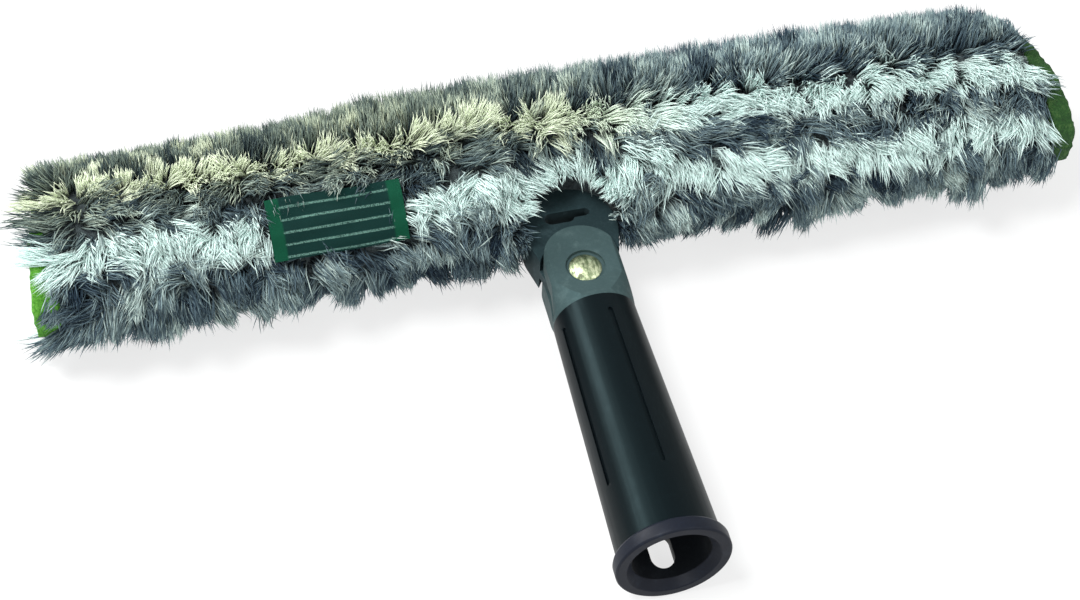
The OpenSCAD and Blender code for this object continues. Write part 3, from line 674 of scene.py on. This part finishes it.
# %% Bend the strands
steps = [0.0, 0.4, 0.75, 1.0]
root_spread = 0.95
table_gap = 0.4 * mm
side = np.cross(heading, normal)
to_lock = lock_root[nearest] - tuft_root
point = tuft_root[owner] - normal[owner] * 1 * mm
point = point + (heading[owner] * spread[:, :1] + side[owner] * spread[:, 1:]) * root_spread * mm
path = [point]
for low, high in zip(steps, steps[1:]):
    middle = (low + high) / 2
    bent = (start_angle + (end_angle - start_angle) * middle)[:, None]
    piece = normal[owner] * np.cos(bent) + heading[owner] * np.sin(bent)
    piece = piece + side[owner] * (sway * math.sin(5 * middle + 1))[:, None] * 2
    piece = piece + to_lock[owner] / length[owner, None] * gather[owner, None]
    piece /= np.linalg.norm(piece, axis=1, keepdims=True)
    point = point + piece * (strand_length * (high - low))[:, None]
    point[:, 2] = np.maximum(point[:, 2], table_z + table_gap)
    path.append(point)
path = np.stack(path, 1)
print("lowest point:", round(float(path[..., 2].min()), 4))

# %% [markdown]
# Every strand has the same ten points and ten faces, so its faces are written once and repeated
# with an offset. The first three points are the root's ring, and the tenth is the tip.

# %% The points and faces of a strand
girths = np.array([0.28, 0.27, 0.18]) * mm
quads = [(r * 3 + c, r * 3 + (c + 1) % 3, r * 3 + 3 + (c + 1) % 3, r * 3 + 3 + c)
         for r in range(2) for c in range(3)]
tips = [(6 + c, 6 + (c + 1) % 3, 9) for c in range(3)]
strand_faces = [*quads, *tips, (0, 2, 1)]


def strand_points(chosen):
    line = path[chosen]
    flow = line[:, -1] - line[:, 0]
    flow /= np.linalg.norm(flow, axis=1, keepdims=True)
    flat = np.cross(flow, normal[owner[chosen]] + 0.01)
    flat /= np.linalg.norm(flat, axis=1, keepdims=True)
    tall = np.cross(flat, flow)
    rings = []
    for ring, girth in enumerate(girths):
        for corner in range(3):
            turned = 2 * math.pi * corner / 3
            offset = math.cos(turned) * flat + math.sin(turned) * tall
            rings.append(line[:, ring] + girth * offset)
    return np.stack(rings + [line[:, 3]], 1).reshape(-1, 3)


def strand_mesh(name, chosen):
    points = strand_points(chosen)
    corners = np.concatenate([np.array(corners) for corners in strand_faces])
    loops = (corners[None, :] + 10 * np.arange(len(chosen))[:, None]).ravel()
    sizes = np.tile([len(corners) for corners in strand_faces], len(chosen))
    mesh = bpy.data.meshes.new(name)
    mesh.vertices.add(len(points))
    mesh.vertices.foreach_set("co", points.ravel())
    mesh.loops.add(len(loops))
    mesh.loops.foreach_set("vertex_index", loops)
    mesh.polygons.add(len(sizes))
    mesh.polygons.foreach_set("loop_start", np.concatenate([[0], np.cumsum(sizes)[:-1]]))
    mesh.polygons.foreach_set("use_smooth", np.ones(len(sizes), bool))
    mesh.update(calc_edges=True)
    return mesh


print("faces of a strand:", len(strand_faces))

# %% [markdown]
# The finish needs four numbers at each point: how white the strand is, how far along it the
# point lies, its tone and its creaminess. They travel as one colour. The bake also needs a map
# in which no two strands share a place, so each gets its own cell of a square grid.

# %% Store each strand's colour numbers and its place on the map
def colour_strands(mesh, chosen):
    mixed = np.empty((len(chosen), 10, 4))
    mixed[..., 0] = whitened[chosen][:, None]
    mixed[..., 1] = np.repeat(steps, [3, 3, 3, 1])
    mixed[..., 2] = tone[chosen][:, None]
    mixed[..., 3] = cream[owner[chosen]][:, None]
    attribute = mesh.color_attributes.new("strand", "FLOAT_COLOR", "POINT")
    attribute.data.foreach_set("color", mixed.ravel())


def map_strands(mesh, amount):
    cells = math.ceil(math.sqrt(amount))
    column, row = np.arange(amount) % cells, np.arange(amount) // cells
    corner_uv = []
    for corners in strand_faces:
        for order, corner in enumerate(corners):
            past = 1 if order in (1, 2) and len(corners) == 4 else order * 0.5
            across = (corners[0] % 3 + past) / 3.6
            along = min(corner // 3, 3) / 3
            corner_uv.append((0.1 + 0.8 * across, 0.1 + 0.8 * along))
    uv = np.array(corner_uv)[None] + np.stack([column, row], 1)[:, None, :]
    layer = mesh.uv_layers.new(name="OFBake")
    layer.data.foreach_set("uv", (uv / cells).ravel())


print("strands can be coloured and mapped")

# %% [markdown]
# ## The pile's finish
# Microfibre is dark at its roots, where little light comes, and pale and matt at its tips. Grey
# strands differ in tone, and white ones shade less at the root, because their neighbours
# scatter light into them.

# %% Make the pile's finish
pile = Finish("pile_strands")
strand = pile.node("ShaderNodeAttribute", {"attribute_name": "strand"})
whiteness = pile.node("ShaderNodeSeparateColor", None, [strand])
along = Socket(pile, whiteness.output.node.outputs[1])
random_tone = Socket(pile, whiteness.output.node.outputs[2])
creaminess = Socket(pile, strand.output.node.outputs["Alpha"])
grey = pile.node("ShaderNodeValToRGB", {"stops": [
    (0.0, srgb(34, 50, 64)), (0.35, srgb(86, 106, 116)), (0.7, srgb(138, 159, 161)),
    (1.0, srgb(198, 218, 214))]}, [random_tone])
grey = pile.mix(creaminess, grey, srgb(240, 228, 198), "MULTIPLY")
pale = pile.mix(creaminess, srgb(214, 238, 236), srgb(224, 230, 198))
fibre = pile.mix(whiteness, grey, pale)
shade = along.smooth(0.0, 0.85)
depth = whiteness * 0.5 + creaminess * 0.2 + 0.2
fibre = pile.mix(1 - (depth + (1 - depth) * shade), fibre, srgb(20, 32, 42))
pile.set(Base_Color=fibre, Roughness=0.8, Specular_IOR_Level=0.15)
print("pile finish:", pile.material.name)

# %% [markdown]
# One mesh of all strands would be too heavy to export, so they are cut into ten slices along
# the bar.

# %% Make the strands in ten slices
slices = 10
slice_at = (tuft_u[owner] + pile_half) / (2 * pile_half) * slices
slice_at = np.clip(slice_at.astype(int), 0, slices - 1)
for number in range(slices):
    chosen = np.nonzero(slice_at == number)[0]
    name = f"pile_strands_{number + 1}"
    mesh = strand_mesh(name, chosen)
    colour_strands(mesh, chosen)
    map_strands(mesh, len(chosen))
    part = bpy.data.objects.new(name, mesh)
    bpy.context.scene.collection.objects.link(part)
    dress(part, pile)
    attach(part, "head")
    print(part.name, "triangles:", len(part.data.polygons) // 10 * 16)

# %% [markdown]
# ## The label
# A woven label lies on the pile, curved with it. It is a grid bent onto the sleeve's oval at the
# label's depth and given its thickness.

# %% Make the label
label_depth = 3.1 * mm
label_out = pile_reach - label_depth
label_up = pile_height - label_depth
bpy.ops.object.select_all(action="DESELECT")
bpy.ops.mesh.primitive_grid_add(x_subdivisions=46, y_subdivisions=34, size=1)
label = bpy.context.active_object
label.name = "label_cloth"
for vertex in label.data.vertices:
    u, v = vertex.co.x, vertex.co.y + 0.5
    turned = math.radians(label_near + (label_far - label_near) * v)
    ripple = 0.35 * mm * math.sin(9 * u + 4 * v) + 0.3 * mm * math.sin(13 * v - 5 * u)
    vertex.co = (label_middle + u * label_len,
                 bar_y + (label_out + ripple) * math.cos(turned),
                 bar_z + (label_up + ripple) * math.sin(turned))
label.data.update()
thick = label.modifiers.new("thickness", "SOLIDIFY")
thick.thickness = 0.6 * mm
thick.offset = 0
apply_all(label)
bpy.ops.object.shade_smooth_by_angle(angle=math.radians(50))

# %% [markdown]
# The label is left bare: a dark green weave, two plain side bands, and five thin ribs along it.

# %% Weave the label's finish
warp_rate, weft_rate, rib_rate = 1200, 860, 31.4
weave = Finish("label_weave")
grid = weave.node("ShaderNodeUVMap")
across = weave.node("ShaderNodeSeparateXYZ", None, [grid])
upward = Socket(weave, across.output.node.outputs[1])
threads = (across * warp_rate).maths("SINE") * 0.5 + (upward * weft_rate).maths("SINE") * 0.5
speck = weave.noise(2600, 3, 0.6)
bands = 1 - across.smooth(0.09, 0.11) * (1 - across.smooth(0.89, 0.91))
ribs = (upward * rib_rate).maths("SINE").smooth(0.72, 0.95) * (1 - bands)
ground = weave.mix(threads * 0.5 + 0.5 * speck, srgb(2, 26, 25), srgb(14, 62, 56))
ground = weave.mix(bands, ground, weave.mix(speck, srgb(2, 50, 36), srgb(8, 76, 52)))
ground = weave.mix(ribs * speck.smooth(0.35, 0.6) * 0.5, ground, srgb(130, 176, 162))
weave.set(Base_Color=ground, Roughness=0.7, Specular_IOR_Level=0.1,
          Normal=weave.bump(threads + speck, 0.5, 0.15 * mm))
dress(label, weave)
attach(label, "head")
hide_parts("label")
print("label finished")

# %% [markdown]
# ## The abrasive end pads
# They are felted nylon fibre with grit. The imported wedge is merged, remeshed finely and
# roughened, so its edge is as uneven as torn felt, and its far half leans in a little.

# %% Make the end pads
def felt(name, dark, middle, light):
    finish = Finish(name)
    fibres = finish.noise(1500, 8, 0.75, stretch=(1, 1, 0.6))
    clumps = finish.noise(380, 5, 0.6)
    mottle = fibres * 0.65 + clumps * 0.35
    base = finish.node("ShaderNodeValToRGB",
                       {"stops": [(0.3, dark), (0.5, middle), (0.68, light)]}, [mottle])
    finish.set(Base_Color=base, Roughness=0.9, Normal=finish.bump(mottle, 1.0, 1.2 * mm))
    return finish


# Both pads are one felt; the right pad's copy is darker, painted shade on the end that faces away
# from the key lamp.
pad_finishes = {
    "end_pad_left": felt("pad_felt_left", srgb(22, 66, 8), srgb(74, 146, 32), srgb(126, 190, 78)),
    "end_pad_right": felt("pad_felt_right_shaded", srgb(8, 36, 4), srgb(20, 68, 12), srgb(76, 108, 54)),
}
for node, finish in pad_finishes.items():
    pad = merged_copy(node, "_felt")
    remesh = pad.modifiers.new("felt", "REMESH")
    remesh.mode = "VOXEL"
    remesh.voxel_size = 0.9 * mm
    apply_all(pad)
    co = np.empty(len(pad.data.vertices) * 3)
    out = np.empty(len(pad.data.vertices) * 3)
    pad.data.vertices.foreach_get("co", co)
    pad.data.vertices.foreach_get("normal", out)
    co, out = co.reshape(-1, 3), out.reshape(-1, 3)
    rough = (0.35 * wander(co[:, 1], co[:, 2], 3, 1.7 * mm)
             + 0.3 * wander(co[:, 1], co[:, 2], 8, 5 * mm))
    co = co + out * (rough * mm)[:, None]
    leaning = ramp((co[:, 1] - bar_y + 8 * mm) / (30 * mm))
    co[:, 0] -= np.sign(co[:, 0]) * 2.4 * mm * leaning
    pad.data.vertices.foreach_set("co", co.ravel())
    pad.data.update()
    bpy.ops.object.shade_smooth()
    dress(pad, finish)
    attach(pad, "head")
    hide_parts(node)
    print(node, "faces:", len(pad.data.polygons))

# %% [markdown]
# ## The table, the world and the lamps
# The background is white, so camera rays see a white world and a floor that is mostly white by
# itself. The floor's other part is a plain diffuse surface, which keeps the soft shadow.

# %% Lay the floor
glow_share = 0.72
bpy.ops.object.select_all(action="DESELECT")
bpy.ops.mesh.primitive_plane_add(size=6, location=(0, 0, table_z))
floor = bpy.context.active_object
floor.name = "floor"
ground_finish = Finish("white_table")
ground_finish.set(Base_Color=(0.82, 0.83, 0.83, 1), Roughness=0.9)
rays = ground_finish.node("ShaderNodeLightPath").output.node.outputs
seen = Socket(ground_finish, rays["Is Camera Ray"])
for ray in ("Is Glossy Ray", "Is Transmission Ray"):
    seen = seen.maths("MAXIMUM", Socket(ground_finish, rays[ray]))
glow = ground_finish.node("ShaderNodeEmission", None, {"Color": (1, 1, 1, 1), "Strength": 1.0})
lit = Socket(ground_finish, ground_finish.shader.outputs[0])
blend = ground_finish.node("ShaderNodeMixShader", None, [seen * glow_share, lit, glow])
ground_finish.tree.links.new(blend.output, ground_finish.tree.nodes["Material Output"].inputs[0])
dress(floor, ground_finish)
print("floor at z", round(table_z, 4))

# %% [markdown]
# The world is plain white, dimmed for the light that it throws on the object. A key lamp hangs
# over the table, a fill and a window lamp soften it, and a rim lamp behind draws the sheen on
# the grip.

# %% Light the scene
lighting_level, seen_level = 0.42, 1.0
world = bpy.data.worlds.new("studio")
bpy.context.scene.world = world
world.use_nodes = True
sky = world.node_tree
path_node = sky.nodes.new("ShaderNodeLightPath")
level = sky.nodes.new("ShaderNodeMapRange")
level.inputs["To Min"].default_value = lighting_level
level.inputs["To Max"].default_value = seen_level
shown = path_node.outputs["Is Camera Ray"]
for ray in ("Is Glossy Ray", "Is Transmission Ray"):
    either = sky.nodes.new("ShaderNodeMath")
    either.operation = "MAXIMUM"
    sky.links.new(shown, either.inputs[0])
    sky.links.new(path_node.outputs[ray], either.inputs[1])
    shown = either.outputs[0]
sky.links.new(shown, level.inputs[0])
sky.nodes["Background"].inputs[0].default_value = (1, 1, 1, 1)
sky.links.new(level.outputs[0], sky.nodes["Background"].inputs[1])


def lamp(name, place, aim, size, power):
    light = bpy.data.lights.new(name, "AREA")
    light.shape = "DISK"
    light.size = size
    light.energy = power
    holder = bpy.data.objects.new(name, light)
    bpy.context.scene.collection.objects.link(holder)
    holder.location = place
    holder.rotation_euler = (Vector(aim) - Vector(place)).to_track_quat("-Z", "Y").to_euler()


middle_aim = (0, 0.1, 0)
lamp("key", (-0.5, 0.1, 1.2), middle_aim, 0.5, 17)
lamp("fill", (0.9, -0.5, 0.9), middle_aim, 0.9, 5)
lamp("window", (-0.45, -1.0, 0.8), middle_aim, 0.5, 5)
lamp("rim", (-0.8, 0.85, 0.6), middle_aim, 0.4, 11)
bpy.context.scene.view_settings.view_transform = "Standard"
